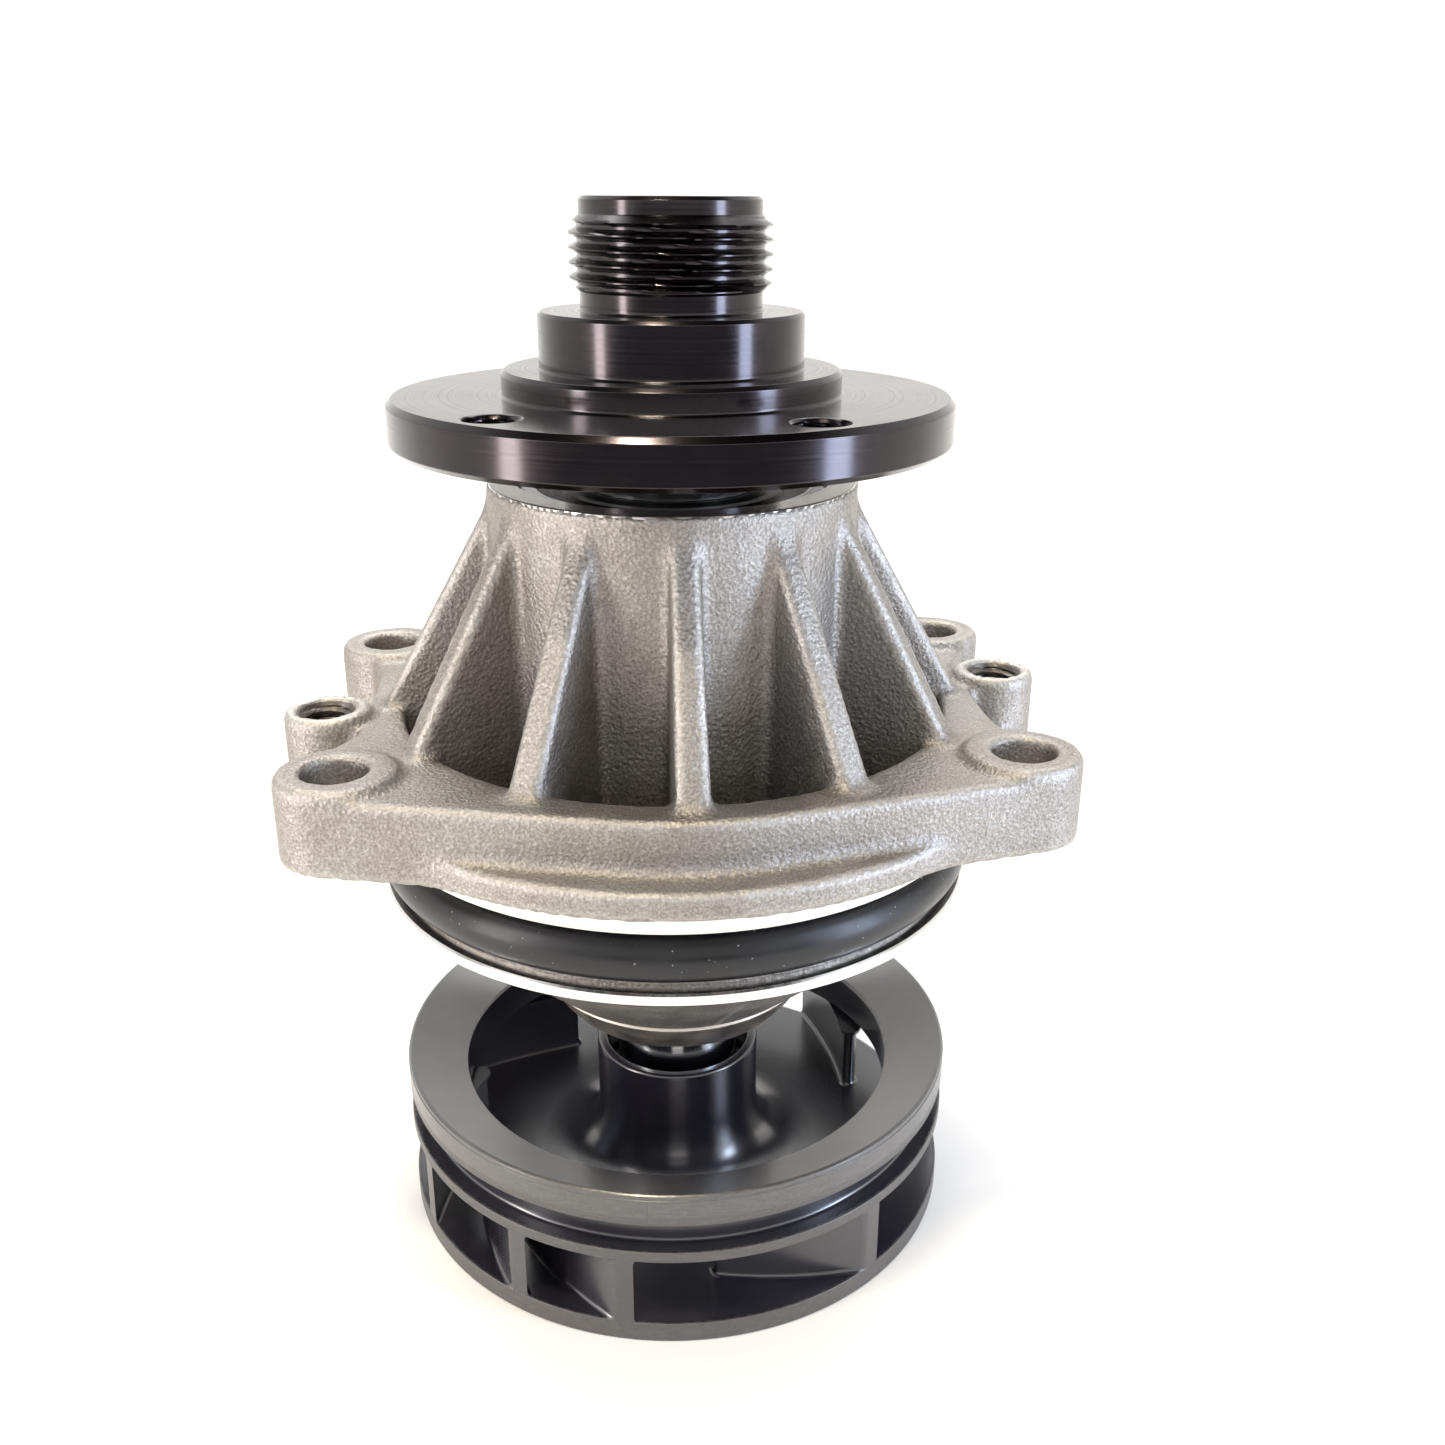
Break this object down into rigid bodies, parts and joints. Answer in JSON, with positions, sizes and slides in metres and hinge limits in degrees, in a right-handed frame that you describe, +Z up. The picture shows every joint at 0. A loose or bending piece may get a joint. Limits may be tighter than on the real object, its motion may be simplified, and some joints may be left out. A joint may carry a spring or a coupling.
{
  "type": "engine coolant pump",
  "caption": "Engine coolant pump: ribbed cast housing with a sealed bearing, threaded drive hub and closed impeller.",
  "frame": {"origin": "centre of the impeller's base, on the shaft's axis", "axes": "+Z up the shaft from the impeller to the threaded hub, +X across the two jacking bosses"},
  "size_m": [0.0906, 0.0806, 0.1217],
  "materials": {
    "cast_aluminium": "sand-cast and shot-blasted, with bright turned lands",
    "blackened_steel": "turned steel, hot blackened and oiled",
    "ground_steel": "ground and polished",
    "bearing_steel": "hardened and lapped bearing steel",
    "stainless_steel": "pressed and satin",
    "spring_steel": "drawn wire",
    "seal_rubber": "moulded, matt",
    "carbon": "pressed and lapped carbon",
    "ceramic": "sintered and lapped",
    "moulded_composite": "moulded gloss with a matt turned rim",
    "cage_nylon": "glass-filled nylon"
  },
  "bodies": {
    "pump_housing": {"housing": "cast_aluminium", "pilot_o_ring": "seal_rubber", "bearing_outer_ring": "bearing_steel", "bearing_seal_pump_side": "seal_rubber", "bearing_seal_pulley_side": "seal_rubber", "seal_case": "stainless_steel", "seal_bellows": "seal_rubber", "seal_spring": "spring_steel", "seal_spring_washer": "stainless_steel", "seal_carbon_ring": "carbon"},
    "rotor": {"pulley_hub": "blackened_steel", "bearing_shaft": "ground_steel", "seal_sleeve": "stainless_steel", "seal_seat_cup": "seal_rubber", "seal_seat_ring": "ceramic", "impeller": "moulded_composite", "impeller_insert": "ground_steel"},
    "ball_row": {"ball_cage": "cage_nylon", "ball_1": "bearing_steel", "ball_2": "bearing_steel", "ball_3": "bearing_steel", "ball_4": "bearing_steel", "ball_5": "bearing_steel", "ball_6": "bearing_steel", "ball_7": "bearing_steel", "ball_8": "bearing_steel"},
    "roller_row": {"roller_cage": "cage_nylon", "roller_1": "bearing_steel", "roller_2": "bearing_steel", "roller_3": "bearing_steel", "roller_4": "bearing_steel", "roller_5": "bearing_steel", "roller_6": "bearing_steel", "roller_7": "bearing_steel", "roller_8": "bearing_steel", "roller_9": "bearing_steel", "roller_10": "bearing_steel"}
  },
  "joints": [
    {"name": "rotor_spin", "type": "hinge", "parent": "pump_housing", "child": "rotor", "pos_m": [0, 0, 0.072], "axis": [0, 0, 1], "continuous": true},
    {"name": "ball_row_spin", "type": "hinge", "parent": "pump_housing", "child": "ball_row", "pos_m": [0, 0, 0.062], "axis": [0, 0, 1], "continuous": true},
    {"name": "roller_row_spin", "type": "hinge", "parent": "pump_housing", "child": "roller_row", "pos_m": [0, 0, 0.08], "axis": [0, 0, 1], "continuous": true}
  ],
  "couplings": [
    {"joint": "ball_row_spin", "follows": "rotor_spin", "ratio": 0.3876},
    {"joint": "roller_row_spin", "follows": "rotor_spin", "ratio": 0.4015}
  ]
}
